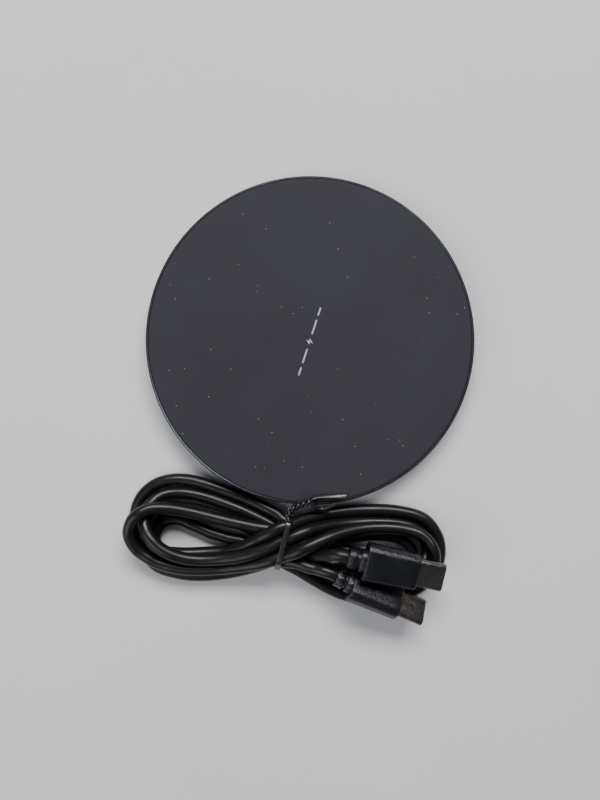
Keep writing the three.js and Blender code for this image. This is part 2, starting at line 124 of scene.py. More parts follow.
CAMERA_PLACE = (-3.06, -18.1, 207.6)
CAMERA_LENS = 29.745


def make_camera():
    data = bpy.data.cameras.new("camera")
    data.lens = CAMERA_LENS
    data.sensor_width = 36.0
    data.clip_start = 0.005
    data.clip_end = 20.0
    camera = bpy.data.objects.new("camera", data)
    camera.location = Vector(CAMERA_PLACE) * MM
    SCENE.collection.objects.link(camera)
    SCENE.camera = camera


make_camera()


# ---- Node materials ----


NOISE_LOW, NOISE_HIGH = 0.3, 0.7  # where most of a noise texture's values lie


class Paint:
    """One procedural material: a principled shader with noise-driven colour, roughness and bump."""

    def __init__(self, name, colour, roughness, metallic=0.0, **sockets):
        self.material = bpy.data.materials.new(name)
        self.material.use_nodes = True
        self.nodes = self.material.node_tree.nodes
        self.links = self.material.node_tree.links
        self.shader = self.nodes["Principled BSDF"]
        self.shader.inputs["Base Color"].default_value = (*colour, 1.0)
        self.shader.inputs["Roughness"].default_value = roughness
        self.shader.inputs["Metallic"].default_value = metallic
        for key, value in sockets.items():
            self.shader.inputs[key.replace("_", " ")].default_value = value
        self.material.diffuse_color = (*colour, 1.0)
        self.coordinates = self.nodes.new("ShaderNodeTexCoord").outputs["Object"]
        self.normal = None

    def noise(self, scale, detail=3.0, rough=0.5):
        node = self.nodes.new("ShaderNodeTexNoise")
        node.inputs["Scale"].default_value = scale
        node.inputs["Detail"].default_value = detail
        node.inputs["Roughness"].default_value = rough
        self.links.new(self.coordinates, node.inputs["Vector"])
        return node.outputs["Fac"]

    def cells(self, scale, output="Distance"):
        node = self.nodes.new("ShaderNodeTexVoronoi")
        node.inputs["Scale"].default_value = scale
        self.links.new(self.coordinates, node.inputs["Vector"])
        return node.outputs[output]

    def remap(self, value, low, high, to_low, to_high):
        node = self.nodes.new("ShaderNodeMapRange")
        node.inputs["From Min"].default_value = low
        node.inputs["From Max"].default_value = high
        node.inputs["To Min"].default_value = to_low
        node.inputs["To Max"].default_value = to_high
        self.links.new(value, node.inputs["Value"])
        return node.outputs["Result"]

    def math(self, operation, first, second):
        node = self.nodes.new("ShaderNodeMath")
        node.operation = operation
        for socket, value in zip(node.inputs, (first, second)):
            if isinstance(value, (int, float)):
                socket.default_value = value
            else:
                self.links.new(value, socket)
        return node.outputs["Value"]

    def two_tone(self, noise, dark, light, low=NOISE_LOW, high=NOISE_HIGH):
        """A ramp between two colours over a noise's values."""
        ramp = self.nodes.new("ShaderNodeValToRGB")
        for element, place, colour in zip(ramp.color_ramp.elements, (low, high), (dark, light)):
            element.position = place
            element.color = (*colour, 1.0)
        self.links.new(noise, ramp.inputs["Fac"])
        return ramp.outputs["Color"]

    def mix(self, factor, first, second):
        node = self.nodes.new("ShaderNodeMix")
        node.data_type = "RGBA"
        self.links.new(factor, node.inputs["Factor"])
        for name, value in (("A", first), ("B", second)):
            socket = [s for s in node.inputs if s.name == name and s.type == "RGBA"][0]
            if isinstance(value, tuple):
                socket.default_value = (*value, 1.0)
            else:
                self.links.new(value, socket)
        return [s for s in node.outputs if s.type == "RGBA"][0]

    def colour(self, output):
        self.links.new(output, self.shader.inputs["Base Color"])

    def roughness(self, noise, low, high):
        output = self.remap(noise, NOISE_LOW, NOISE_HIGH, low, high)
        self.links.new(output, self.shader.inputs["Roughness"])

    def bump(self, height, distance, strength=1.0):
        node = self.nodes.new("ShaderNodeBump")
        node.inputs["Distance"].default_value = distance
        node.inputs["Strength"].default_value = strength
        self.links.new(height, node.inputs["Height"])
        if self.normal:
            self.links.new(self.normal, node.inputs["Normal"])
        self.normal = node.outputs["Normal"]
        self.links.new(self.normal, self.shader.inputs["Normal"])


def shade(colour, factor):
    return tuple(min(1.0, c * factor) for c in colour)


def mottled(
    name, colour, roughness, scale, spread=0.12, rough_spread=0.08, metallic=0.0, **sockets
):
    """A paint whose colour and roughness vary a little with two sizes of noise."""
    paint = Paint(name, colour, roughness, metallic, **sockets)
    broad = paint.noise(scale, 4.0, 0.6)
    paint.colour(paint.two_tone(broad, shade(colour, 1 - spread), shade(colour, 1 + spread)))
    fine = paint.noise(scale * 4.3, 3.0, 0.6)
    paint.roughness(fine, roughness - rough_spread, roughness + rough_spread)
    return paint


DUST_SPACING = 470.0
DUST_CHANCE = 0.68  # a cell above this holds one
DUST_SIZE = 0.06
DUST_STRENGTH = 0.6


def plate_paint():
    """Soft-touch coating with faint clouds and a few specks of dust."""
    colour = (0.032, 0.0308, 0.0385)
    paint = Paint("soft_touch_plate", colour, 0.62, IOR=1.45, Specular_IOR_Level=0.12)
    clouds = paint.noise(45.0, 5.0, 0.6)
    surface = paint.two_tone(clouds, shade(colour, 0.93), shade(colour, 1.08))
    speck = paint.cells(DUST_SPACING)
    chance = paint.cells(DUST_SPACING, "Color")
    rare = paint.math("GREATER_THAN", chance, DUST_CHANCE)
    small = paint.math("LESS_THAN", speck, DUST_SIZE)
    dust = paint.math("MULTIPLY", rare, small)
    paint.colour(paint.mix(paint.math("MULTIPLY", dust, DUST_STRENGTH), surface, (0.5, 0.5, 0.5)))
    paint.roughness(paint.noise(180.0, 4.0), 0.59, 0.65)
    paint.bump(paint.noise(5200.0, 2.0, 0.7), 0.00002, 0.35)
    return paint.material


def dark_wall_painted_shade_paint():
    """Hard black side wall with a fine satin grain. It is made darker than the rest of the pad as
    painted shade, so its rounded top edge reads as the shadow line round the pad.
    """
    paint = mottled(
        "black_wall_painted_shade", (0.007, 0.007, 0.008), 0.4, 60.0, 0.15, 0.06, Specular_IOR_Level=0.28
    )
    paint.bump(paint.noise(3600.0, 2.0), 0.00001, 0.3)
    return paint.material


def band_paint():
    """Polished chamfer: a dark turned metal with fine marks."""
    colour = (0.13, 0.14, 0.17)
    paint = Paint("polished_chamfer", colour, 0.28, 0.85)
    streaks = paint.noise(900.0, 4.0, 0.6)
    paint.colour(paint.two_tone(streaks, shade(colour, 0.85), shade(colour, 1.15)))
    paint.roughness(paint.noise(120.0, 4.0), 0.22, 0.36)
    return paint.material


def base_paint():
    """Moulded black plastic with a sparked grain."""
    paint = mottled("moulded_base", (0.017, 0.017, 0.019), 0.55, 50.0)
    paint.bump(paint.cells(2600.0), 0.00004, 0.5)
    return paint.material


def silicone_paint():
    paint = mottled("foot_silicone", (0.028, 0.028, 0.03), 0.78, 70.0, 0.1, 0.06)
    paint.bump(paint.noise(2400.0, 3.0), 0.00003, 0.5)
    return paint.material


def cable_paint():
    """Glossy PVC jacket, a little uneven, with fine drawn marks."""
    paint = mottled(
        "cable_jacket", (0.006, 0.006, 0.007), 0.34, 90.0, 0.2, 0.06,
        IOR=1.48, Specular_IOR_Level=0.34,
    )
    paint.bump(paint.noise(240.0, 3.0, 0.6), 0.00012, 0.35)
    paint.bump(paint.noise(2600.0, 2.0, 0.6), 0.000012, 0.35)
    return paint.material


def overmold_paint():
    """Moulded plastic with a fine pebbled grain that breaks its highlights into specks."""
    paint = mottled("plug_overmold", (0.0042, 0.0046, 0.007), 0.27, 120.0, 0.2, 0.07, IOR=1.46)
    paint.bump(paint.cells(3400.0), 0.00007, 0.85)
    paint.bump(paint.noise(7000.0, 2.0, 0.7), 0.00002, 0.6)
    return paint.material


def gunmetal_paint():
    """Dark plated steel that turns from violet to warm grey in patches."""
    paint = Paint("plated_shell", (0.2, 0.175, 0.16), 0.24, 1.0)
    tint = paint.noise(160.0, 3.0, 0.5)
    violet, warm = (0.13, 0.112, 0.118), (0.21, 0.182, 0.152)
    paint.colour(paint.two_tone(tint, violet, warm, 0.35, 0.65))
    paint.roughness(paint.noise(700.0, 4.0), 0.17, 0.33)
    paint.bump(paint.noise(2400.0, 2.0), 0.00001, 0.4)
    return paint.material


def tie_paint():
    """Shiny plastic coating of a twist tie."""
    paint = mottled("tie_coating", (0.012, 0.012, 0.013), 0.3, 300.0, 0.25, 0.08, IOR=1.5)
    paint.bump(paint.noise(1500.0, 3.0, 0.6), 0.00006, 0.7)
    return paint.material


def ink_paint():
    paint = mottled("mark_ink", (0.34, 0.37, 0.45), 0.5, 400.0, 0.12, 0.08)
    paint.bump(paint.noise(5000.0, 2.0), 0.00001, 0.3)
    return paint.material


def steel_paint():
    paint = mottled("bright_steel", (0.52, 0.52, 0.53), 0.26, 400.0, 0.08, 0.07, 1.0)
    paint.bump(paint.noise(3000.0, 2.0), 0.000006, 0.3)
    return paint.material


def copper_paint():
    paint = mottled("copper_winding", (0.62, 0.3, 0.15), 0.32, 500.0, 0.12, 0.08, 1.0)
    paint.bump(paint.noise(4000.0, 2.0), 0.00002, 0.5)
    return paint.material


def ferrite_paint():
    paint = mottled("ferrite", (0.03, 0.028, 0.027), 0.6, 260.0, 0.2, 0.1)
    paint.bump(paint.noise(3000.0, 4.0), 0.00002, 0.6)
    return paint.material


def foam_paint():
    paint = mottled("closed_cell_foam", (0.05, 0.05, 0.055), 0.9, 300.0, 0.2, 0.05)
    paint.bump(paint.cells(1800.0), 0.0002, 0.8)
    return paint.material


def board_paint():
    """Green solder mask over copper tracks."""
    paint = Paint("solder_mask", (0.012, 0.07, 0.03), 0.4)
    tracks = paint.remap(paint.cells(420.0), 0.42, 0.46, 0.0, 1.0)
    paint.colour(paint.mix(tracks, (0.01, 0.055, 0.024), (0.018, 0.1, 0.045)))
    paint.roughness(paint.noise(500.0), 0.32, 0.48)
    return paint.material


def chip_paint():
    paint = mottled("moulded_epoxy", (0.014, 0.014, 0.015), 0.5, 600.0, 0.2, 0.08)
    paint.bump(paint.noise(6000.0, 2.0), 0.00001, 0.5)
    return paint.material


def ceramic_paint():
    paint = mottled("ceramic_body", (0.36, 0.25, 0.15), 0.45, 500.0, 0.1, 0.08)
    paint.bump(paint.noise(4000.0, 3.0), 0.00001, 0.4)
    return paint.material


def tape_paint():
    paint = mottled("adhesive_tape", (0.48, 0.46, 0.4), 0.75, 300.0, 0.08, 0.06)
    paint.bump(paint.noise(2500.0, 4.0), 0.00003, 0.5)
    return paint.material


def lens_paint():
    paint = mottled("frosted_lens", (0.72, 0.76, 0.78), 0.3, 900.0, 0.05, 0.08)
    paint.bump(paint.noise(5000.0, 2.0), 0.00001, 0.4)
    return paint.material


PAINTS = {
    "plate": plate_paint(),
    "mark_ink": ink_paint(),
    "bezel": dark_wall_painted_shade_paint(),
    "base": base_paint(),
    "silicone": silicone_paint(),
    "tape": tape_paint(),
    "steel": steel_paint(),
    "ferrite": ferrite_paint(),
    "copper": copper_paint(),
    "foam": foam_paint(),
    "board": board_paint(),
    "chip": chip_paint(),
    "ceramic_part": ceramic_paint(),
    "lens": lens_paint(),
    "gunmetal": gunmetal_paint(),
    "cable": cable_paint(),
    "overmold": overmold_paint(),
    "tie": tie_paint(),
}
BAND = band_paint()


# ---- Mesh helpers ----


def smooth(mesh, angle=32.0):
    """Shades a mesh smooth, and keeps the edges that turn more than the angle crisp."""
    work = bmesh.new()
    work.from_mesh(mesh)
    limit = math.radians(angle)
    for face in work.faces:
        face.smooth = True
    for edge in work.edges:
        edge.smooth = len(edge.link_faces) == 2 and edge.calc_face_angle(0.0) < limit
    work.to_mesh(mesh)
    work.free()


def piece(name, points, faces, slot, body, replaced=(), angle=32.0, placed=None):
    """A mesh piece made from points in millimetres, which rides on a CAD body."""
    mesh = bpy.data.meshes.new(name)
    points = np.asarray(points, float)
    if placed is not None:
        points = points @ np.array(placed.to_3x3()).T + np.array(placed.translation)
    mesh.from_pydata((points * MM).tolist(), [], faces)
    work = bmesh.new()
    work.from_mesh(mesh)
    bmesh.ops.recalc_face_normals(work, faces=work.faces)
    work.to_mesh(mesh)
    work.free()
    smooth(mesh, angle)
    mesh.materials.append(PAINTS[slot])
    obj = bpy.data.objects.new(name, mesh)
    SCENE.collection.objects.link(obj)
    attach(obj, body)
    if replaced:
        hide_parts(*replaced)
    return obj


def joined(*parts):
    """Several (points, faces) as one."""
    points, faces = [], []
    for more_points, more_faces in parts:
        start = len(points)
        points += [tuple(p) for p in more_points]
        faces += [tuple(i + start for i in face) for face in more_faces]
    return points, faces


def lathe(profile, sides=256):
    """A profile of (radius, height) turned about Z. It closes on itself, or on the axis."""
    points, rings = [], []
    for radius, height in profile:
        if radius < 1e-6:
            rings.append([len(points)] * sides)
            points.append((0.0, 0.0, height))
            continue
        rings.append(list(range(len(points), len(points) + sides)))
        for i in range(sides):
            angle = 2 * math.pi * i / sides
            points.append((radius * math.cos(angle), radius * math.sin(angle), height))
    faces = []
    on_axis = profile[0][0] < 1e-6 and profile[-1][0] < 1e-6
    for k in range(len(rings) - (1 if on_axis else 0)):
        low, high = rings[k], rings[(k + 1) % len(rings)]
        for i in range(sides):
            j = (i + 1) % sides
            corners = [low[i], low[j], high[j], high[i]]
            unique = list(dict.fromkeys(corners))
            if len(unique) > 2:
                faces.append(tuple(unique))
    return points, faces


def loft(rings, closed=False):
    """Skins rings of equal length, and caps the ends unless the last ring meets the first."""
    count = len(rings[0])
    points = [tuple(p) for ring in rings for p in ring]
    faces = []
    for k in range(len(rings) if closed else len(rings) - 1):
        low, high = k * count, ((k + 1) % len(rings)) * count
        for i in range(count):
            j = (i + 1) % count
            faces.append((low + i, low + j, high + j, high + i))
    if not closed:
        faces.append(tuple(range(count))[::-1])
        faces.append(tuple((len(rings) - 1) * count + i for i in range(count)))
    return points, faces


def angles(*degrees):
    return [math.radians(d) for d in degrees]


def rounded(width, height, radius, corner=8):
    """The outline of a rounded rectangle, as (y, z) points."""
    radius = min(radius, width / 2 - 1e-4, height / 2 - 1e-4)
    outline = []
    for quarter, (sy, sz) in enumerate([(1, 1), (-1, 1), (-1, -1), (1, -1)]):
        cy, cz = sy * (width / 2 - radius), sz * (height / 2 - radius)
        for step in range(corner + 1):
            angle = math.pi / 2 * (quarter + step / corner)
            outline.append((cy + radius * math.cos(angle), cz + radius * math.sin(angle)))
    return outline


def stations(rows, corner=8):
    """Rings across +X, one for each row of (x, width, height, radius)."""
    return [[(x, y, z) for y, z in rounded(w, h, r, corner)] for x, w, h, r in rows]


def carve(obj, cutters):
    """Cuts closed (points, faces) solids out of a piece, and applies the result."""
    for points, faces in cutters:
        mesh = bpy.data.meshes.new("cutter")
        mesh.from_pydata((np.asarray(points, float) * MM).tolist(), [], faces)
        work = bmesh.new()
        work.from_mesh(mesh)
        bmesh.ops.recalc_face_normals(work, faces=work.faces)
        work.to_mesh(mesh)
        work.free()
        cutter = bpy.data.objects.new("cutter", mesh)
        SCENE.collection.objects.link(cutter)
        modifier = obj.modifiers.new("cut", "BOOLEAN")
        modifier.operation = "DIFFERENCE"
        modifier.solver = "EXACT"
        modifier.object = cutter
        bpy.context.view_layer.update()
        graph = bpy.context.evaluated_depsgraph_get()
        result = bpy.data.meshes.new_from_object(obj.evaluated_get(graph))
        obj.modifiers.remove(modifier)
        old = obj.data
        obj.data = result
        bpy.data.meshes.remove(old)
        bpy.data.objects.remove(cutter)
        bpy.data.meshes.remove(mesh)
    smooth(obj.data)


def turn_z(points, degrees):
    c, s = math.cos(math.radians(degrees)), math.sin(math.radians(degrees))
    return [(x * c - y * s, x * s + y * c, z) for x, y, z in points]


# ---- Cable route and settling ----


def rotation(yaw, pitch, roll):
    turns = [("Z", yaw), ("Y", pitch), ("X", roll)]
    matrix = Matrix.Identity(3)
    for axis, degrees in turns:
        matrix = matrix @ Matrix.Rotation(math.radians(degrees), 3, axis)
    return np.array(matrix)


def plug_frame(letter):
    place, turns = PLUGS[letter]
    return np.array(place), rotation(*turns)


def on_plug(letter, x):
    place, matrix = plug_frame(letter)
    return tuple(place + matrix @ np.array([x, 0.0, 0.0]))


ALONG = np.array([math.cos(math.radians(TIE_YAW)), math.sin(math.radians(TIE_YAW))])
ACROSS = np.array([-ALONG[1], ALONG[0]])


def at_tie(across, height):
    place = TIE_CENTRE + ACROSS * across
    return (place[0], place[1], height)


# Each turn goes round a left lobe and a right lobe. A lobe is given by the y of its strands on the
# way out, the (x, y) of its far end, the y of its trough and heel, and heights along the way.
LEFT_LOBES = [
    ((-50.9, -47.9, -47.2), (-51.8, -54.8), (-67.0, -65.0), (4.5, 4.2, 8.0, 8.0, 8.6)),
    ((-55.9, -52.9, -51.8), (-55.8, -57.8), (-69.0, -68.2), (6.4, 7.4, 9.2, 5.6, 5.6)),
    ((-55.9, -53.0, -52.2), (-50.8, -58.0), (-65.8, -65.8), (3.4, 1.9, 5.4, 4.4, 3.4)),
    ((-62.6, -59.4, -55.6), (-51.4, -62.2), (-68.2, -67.0), (1.9, 1.9, 1.9, 1.9, 1.9)),
    ((-49.4, -43.5, -42.1), (-55.2, -54.6), (-71.2, -70.8), (1.9, 1.9, 1.9, 1.9, 2.6)),
]
RIGHT_LOBES = [
    ((-56.3, -56.8), (37.4, -64.0), (-71.6, -65.6), (4.2, 2.4, 4.6, 5.2, 3.0)),
    ((-57.1, -58.4), (38.2, -66.2), (-73.6, -68.6), (6.4, 6.0, 8.4, 7.4, 5.0)),
    ((-52.8, -54.8), (41.0, -64.4), (-78.4, -79.0), (1.9, 1.9, 1.9, 1.9, 1.9)),
    ((-60.6, -61.6), (33.6, -68.2), (-75.0, -71.8), (1.9, 1.9, 1.9, 1.9, 1.9)),
]
# Where the cable crosses under the tie, in the order of travel: distance across, and height.
TIE_CROSSINGS = [
    (3.4, 4.6), (1.9, 9.6), (1.2, 6.4), (-3.3, 9.4), (-0.2, 3.0),
    (4.4, 9.0), (-4.2, 3.0), (-2.6, 6.2), (5.2, 4.0), (-6.0, 8.0),
]
CORNER = 0.72  # how square a lobe's end is; 0.71 is an ellipse
LEFT_HEEL_CORNER = 0.66  # the left lobes' ends are cut off more below
FULL = 1.05  # the end's length over its half height
LEFT_LEAN, RIGHT_LEAN = 7.0, 3.0  # how much longer the lower half of an end is than the upper
LEFT_X = (-22.0, -36.0, -30.0, -20.0)
RIGHT_X = (4.0, 16.0, 10.0)
LEAD_A = [(4.6, -64.2, 11.2), (0.6, -65.0, 8.0), (-3.5, -63.6, 5.6)]  # from plug a to the tie
LEAD_B = [(-1.2, -68.9, 7.4)]  # from the tie to plug b
LEAD_STRAIGHT = 3.0  # the cable runs straight this far past a strain relief
RELIEF_END = -PLUG_LENGTH / 2 - RELIEF_LENGTH


def lobe_end(crest, end, trough, lean, heel_corner, heights):
    """The points round a lobe's far end, from its crest to its trough."""
    end_x, end_y = end
    side = math.copysign(1.0, end_x)
    half = (crest - trough) / 2
    x0 = end_x - side * FULL * half
    x1 = x0 - side * lean
    z0, z1, z2 = heights
    return [
        (x0, crest, z0),
        (x0 + CORNER * (end_x - x0), end_y + CORNER * (crest - end_y), (z0 + z1) / 2),
        (end_x, end_y, z1),
        (x1 + heel_corner * (end_x - x1), end_y + heel_corner * (trough - end_y), (z1 + z2) / 2),
        (x1, trough, z2),
    ]


def left_lobe(lobe):
    (shoulder, middle, crest), end, (trough, heel), (z0, z1, z2, z3, z4) = lobe
    x0, x1, x2, x3 = LEFT_X
    return [
        (x0, shoulder, z0),
        (x1, middle, (z0 + z1) / 2),
        *lobe_end(crest, end, trough, LEFT_LEAN, LEFT_HEEL_CORNER, (z1, z2, z3)),
        (x2, (trough + heel) / 2 - 0.3, (z3 + z4) / 2),
        (x3, heel, z4),
    ]


def right_lobe(lobe, start):
    (crest, shoulder), end, (trough, heel), (z0, z1, z2, z3, z4) = lobe
    x0, x1, x2 = RIGHT_X
    return [
        (x0, 0.42 * start[1] + 0.58 * crest + 0.9, (start[2] + z0) / 2),
        (x1, crest, z0),
        *lobe_end(shoulder, end, trough, RIGHT_LEAN, CORNER, (z1, z2, z3)),
        (x2, heel, z4),
    ]


def cable_route():
    """The drawn route from plug a to plug b, before it settles."""
    relief = [RELIEF_END + LEAD_STRAIGHT, RELIEF_END, RELIEF_END - LEAD_STRAIGHT]
    points = [on_plug("a", x) for x in relief] + LEAD_A
    crossings = iter(TIE_CROSSINGS)
    for number, lobe in enumerate(LEFT_LOBES):
        points.append(at_tie(*next(crossings)))
        points += left_lobe(lobe)
        points.append(at_tie(*next(crossings)))
        if number < len(RIGHT_LOBES):
            points += right_lobe(RIGHT_LOBES[number], points[-1])
    points += LEAD_B + [on_plug("b", x) for x in reversed(relief)]
    return np.array([tuple(p) for p in points], float)


def distances(points, power=1.0):
    """How far along a line each of its points is."""
    steps = np.linalg.norm(np.diff(points, axis=0), axis=1)
    return np.concatenate([[0.0], np.cumsum(steps ** power)])


def between(s, start, end, first, second):
    return (end - s) / (end - start) * first + (s - start) / (end - start) * second


def spline(points, steps=24):
    """A centripetal Catmull-Rom curve through the points."""
    padded = np.vstack([2 * points[0] - points[1], points, 2 * points[-1] - points[-2]])
    out = []
    for i in range(1, len(padded) - 2):
        p = padded[i - 1:i + 3]
        t = distances(p, 0.5)
        for s in np.linspace(t[1], t[2], steps, endpoint=False):
            a = [between(s, t[k], t[k + 1], p[k], p[k + 1]) for k in range(3)]
            b = [between(s, t[k], t[k + 2], a[k], a[k + 1]) for k in range(2)]
            out.append(between(s, t[1], t[2], *b))
    out.append(points[-1])
    return np.array(out)


def evenly(points, step):
    """The same line with points about a step apart."""
    lengths = distances(points)
    count = int(round(lengths[-1] / step)) + 1
    wanted = np.linspace(0.0, lengths[-1], count)
    return np.stack([np.interp(wanted, lengths, points[:, k]) for k in range(3)], axis=1)


NODE_STEP = 2.4
LINE_STEP = 0.9
TOUCH = 3.95  # distance at which two stretches of cable push each other apart
BEND = 9.5  # tightest radius that the cable takes up by itself
STEPS = 500
HELD = 4  # nodes that stay in each plug's strain relief
FREE_OF_PLUG = 14  # nodes next to a plug that the plugs don't push
NEIGHBOURS = 5  # nodes nearer along the cable than this don't push each other
PAD_CLEARANCE = 0.2
# How far the cable falls in a step, and how strongly its plan is pulled to the drawn route. Each
# holds until a part of the steps is done.
FALLS = [(0.85, 0.05), (1.0, 0.015)]
PULLS = [(0.5, 0.12), (0.88, 0.05), (1.0, 0.01)]


def relax_bends(place, weight):
    """Opens bends that are tighter than the cable allows, and smooths the rest a little."""
    step = np.linalg.norm(np.diff(place, axis=0), axis=1).mean()
    for k in (1, 2, 3):
        off = (place[:-2 * k] + place[2 * k:]) / 2 - place[k:-k]
        size = np.linalg.norm(off, axis=1) + 1e-9
        allowed = (k * step) ** 2 / (2 * BEND)
        gain = np.clip((size - allowed) / size, 0, 1) * 0.3 + 0.03
        move = gain[:, None] * off
        place[k:-k] += move * weight[k:-k, None]
        place[:-2 * k] -= 0.5 * move * weight[:-2 * k, None]
        place[2 * k:] -= 0.5 * move * weight[2 * k:, None]
    return step


def even_spacing(place, weight, step):
    """Moves neighbours towards a step apart."""
    for first in (0, 1):
        a = np.arange(first, len(place) - 1, 2)
        b = a + 1
        gap = place[b] - place[a]
        length = np.linalg.norm(gap, axis=1, keepdims=True)
        both = np.maximum(weight[a] + weight[b], 1.0)
        change = gap / length * (length - step) * 0.8
        place[a] += change * (weight[a] / both)[:, None]
        place[b] -= change * (weight[b] / both)[:, None]


def keep_apart(place, weight, pairs):
    """Pushes touching stretches of cable apart."""
    first, second = pairs
    gap = place[second] - place[first]
    near = (gap * gap).sum(1) < TOUCH * TOUCH
    a, b, gap = first[near], second[near], gap[near]
    length = np.sqrt((gap * gap).sum(1)) + 1e-9
    push = gap / length[:, None] * ((TOUCH - length) * 0.5)[:, None]
    total, count = np.zeros_like(place), np.zeros(len(place))
    np.add.at(total, a, -push)
    np.add.at(total, b, push)
    np.add.at(count, a, 1)
    np.add.at(count, b, 1)
    place += total / np.sqrt(np.maximum(count, 1))[:, None] * weight[:, None]


def stay_in_tie(place, weight):
    """Holds the cable inside the tie's loop."""
    offset = place[:, :2] - TIE_CENTRE
    u, v = offset @ ALONG, offset @ ACROSS
    under = (np.abs(u) < 2.5) * weight
    side = TIE_HALF_WIDTH - TIE_WIRE - CABLE / 2
    place[:, :2] += ((np.clip(v, -side, side) - v) * 0.6 * under)[:, None] * ACROSS
    top = TIE_TOP - TIE_WIRE - CABLE / 2
    place[:, 2] += np.minimum(top - place[:, 2], 0) * 0.5 * under


def stay_off_pad(place, weight):
    clear = PAD_RADIUS + PAD_CLEARANCE + CABLE / 2
    distance = np.hypot(place[:, 0], place[:, 1])
    inside = (distance < clear) & (place[:, 2] < PAD_TOP + 1.4) & (weight > 0)
    scale = np.where(inside, clear / np.maximum(distance, 1e-6), 1.0)
    place[:, 0] *= scale
    place[:, 1] *= scale


def stay_under_plugs(place, frames):
    """Pushes the cable out of a plug through its nearest side, but never through its upper face."""
    index = np.arange(len(place))
    reach = np.array([PLUG_LENGTH / 2 + 0.2, PLUG_WIDTH / 2, PLUG_THICKNESS / 2]) + CABLE / 2
    free = (index > FREE_OF_PLUG) & (index < len(place) - FREE_OF_PLUG)
    for origin, matrix in frames:
        local = (place - origin) @ matrix
        inside = (np.abs(local) < reach).all(1) & free
        sides = [reach[1] - local[:, 1], local[:, 1] + reach[1], local[:, 2] + reach[2]]
        depth = np.stack(sides, axis=1)
        nearest = depth.argmin(axis=1)
        push = depth.min(axis=1) * 0.5 * inside
        local[:, 1] += push * ((nearest == 0) * 1.0 - (nearest == 1))
        local[:, 2] -= push * (nearest == 2)
        place = np.where(inside[:, None], local @ matrix.T + origin, place)
    return place


def stay_on_floor(place, weight):
    """Keeps the cable on the floor, and on the tie's wire below it."""
    u = np.abs((place[:, :2] - TIE_CENTRE) @ ALONG)
    lowest = CABLE / 2 + np.clip(TIE_WIRE + 0.65 - 0.5 * u, 0.0, TIE_WIRE + 0.05)
    place[:, 2] = np.where(weight > 0, np.maximum(place[:, 2], lowest), place[:, 2])


def now(stages, done):
    return next(value for end, value in stages if done < end)


def settle(route):
    """Lets the drawn route find its rest: it falls, resists tight bends, and lies on itself."""
    place, home = route.copy(), route.copy()
    weight = np.ones(len(place))
    weight[:HELD] = weight[-HELD:] = 0.0
    pairs = np.triu_indices(len(place), NEIGHBOURS)
    frames = [plug_frame(letter) for letter in PLUGS]
    for number in range(STEPS):
        done = number / STEPS
        place[:, 2] -= now(FALLS, done) * weight
        place[:, :2] += (home[:, :2] - place[:, :2]) * (now(PULLS, done) * weight)[:, None]
        step = relax_bends(place, weight)
        for _ in range(2):
            even_spacing(place, weight, step)
        for _ in range(3):
            keep_apart(place, weight, pairs)
        stay_in_tie(place, weight)
        stay_off_pad(place, weight)
        place = stay_under_plugs(place, frames)
        stay_on_floor(place, weight)
    return place


LINE = evenly(spline(settle(evenly(spline(cable_route()), NODE_STEP)), 6), LINE_STEP)


def make_cable():
    data = bpy.data.curves.new("charging_cable", "CURVE")
    data.dimensions = "3D"
    data.bevel_depth = CABLE / 2 * MM
    data.bevel_resolution = 6
    data.use_fill_caps = True
    row = data.splines.new("POLY")
    row.points.add(len(LINE) - 1)
    for point, place in zip(row.points, LINE * MM):
        point.co = (*place, 1.0)
    row.use_smooth = True
    data.materials.append(PAINTS["cable"])
    obj = bpy.data.objects.new("charging_cable", data)
    SCENE.collection.objects.link(obj)
    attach(obj, "cable")
    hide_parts("cable_hank_left", "cable_hank_right", "cable_lead_a", "cable_lead_b")
    return obj


CORD = make_cable()


# ---- Pad ----


def port_cutter(grow, start, end, flare=0.0):
    """A slot across the side wall. With a flare it widens towards the outside."""
    width, height = PORT_WIDTH + grow, PORT_THICKNESS + grow
    rows = [
        (start, width, height, SLOT_CORNER),
        (end, width + flare, height + flare, SLOT_CORNER + flare / 2),
    ]
    points, faces = loft(stations(rows, 10))
    points = [(x, y, z + PORT_HEIGHT) for x, y, z in points]
    return turn_z(points, PORT_ANGLE), faces


def lens_cutter(clearance, sides=32):
    """A round hole across the side wall, for the lens."""
    radius = LENS_RADIUS + clearance
    rings = []
    for x in LENS_CUT:
        ring = []
        for i in range(sides):
            a = 2 * math.pi * i / sides
            ring.append((x, radius * math.cos(a), LENS_HEIGHT + radius * math.sin(a)))
        rings.append(ring)
    points, faces = loft(rings)
    return turn_z(points, PORT_ANGLE + LENS_ANGLE), faces


def plate():
    edge_bottom = PAD_TOP - PLATE_EDGE
    profile = [(0.0, PLATE_BOTTOM), (PLATE_RADIUS, PLATE_BOTTOM), (PLATE_RADIUS, edge_bottom)]
    profile += [
        (PLATE_RADIUS - PLATE_EDGE * (1 - math.cos(a)), PAD_TOP - PLATE_EDGE * (1 - math.sin(a)))
        for a in angles(22.5, 45, 67.5, 90)
    ]
    profile += [(r, PAD_TOP) for r in (48.0, 44.0, 36.0, 24.0, 12.0, 0.0)]
    piece("charging_surface", *lathe(profile), "plate", "pad", ["top_plate"], 40.0)


